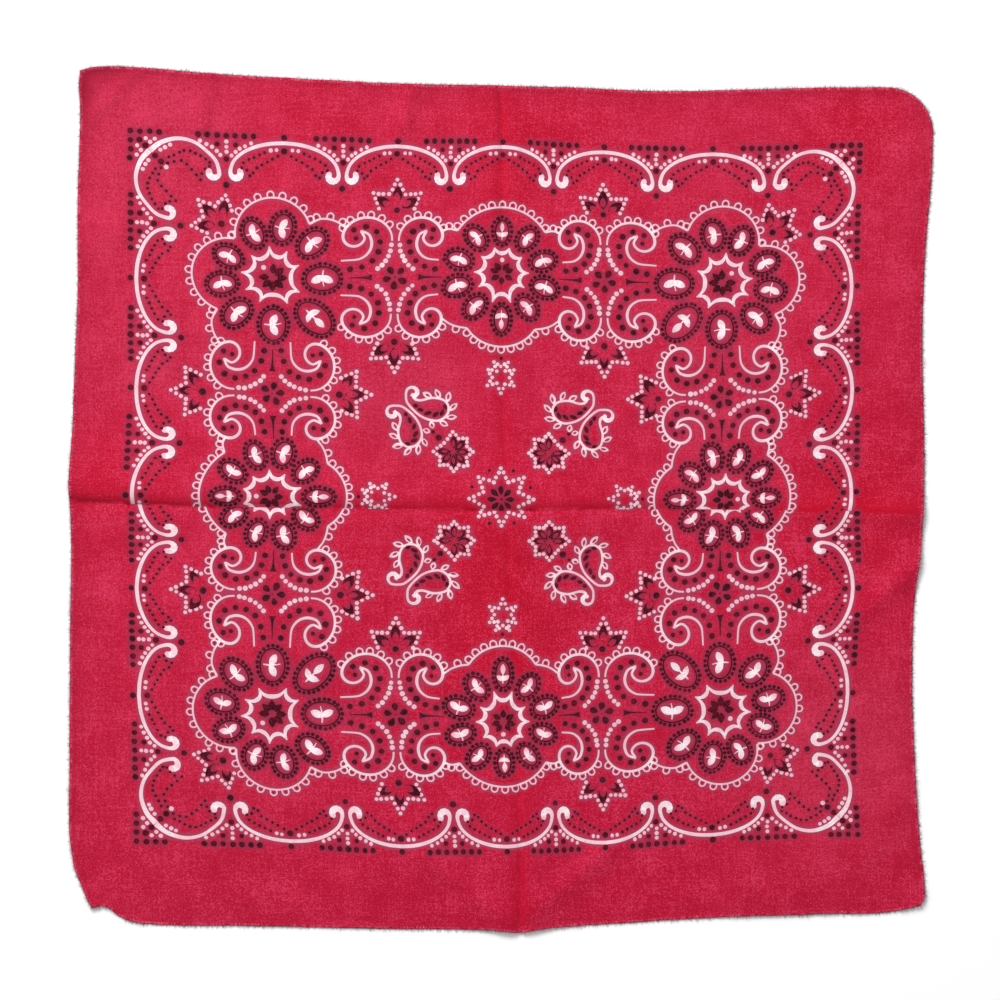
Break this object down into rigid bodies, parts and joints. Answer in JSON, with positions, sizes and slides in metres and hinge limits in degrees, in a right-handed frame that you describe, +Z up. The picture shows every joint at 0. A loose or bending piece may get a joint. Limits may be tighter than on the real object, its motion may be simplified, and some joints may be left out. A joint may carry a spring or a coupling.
{
  "type": "bandana",
  "caption": "Square printed cotton bandana lying opened out, with narrow hems, soft creases from being folded in quarters and one rounded corner.",
  "frame": {"origin": "on the surface it lies on, under the middle of the cloth's outline", "axes": "+Z up, out of the printed side; +Y towards the far edge, +X towards the right edge, as seen from above"},
  "size_m": [0.5622, 0.5636, 0.0049],
  "materials": {
    "cloth": "matte plain-weave cotton, printed in white and dark maroon",
    "hem": "matte folded cotton edge with lockstitching",
    "white_ink": "matte pinkish white print",
    "dark_ink": "matte dark maroon print",
    "thread": "matte sewing thread"
  },
  "bodies": {
    "root": {"cloth_panel": "cloth", "hem_top": "hem", "hem_right": "hem", "hem_bottom": "hem", "hem_left": "hem"}
  },
  "joints": []
}
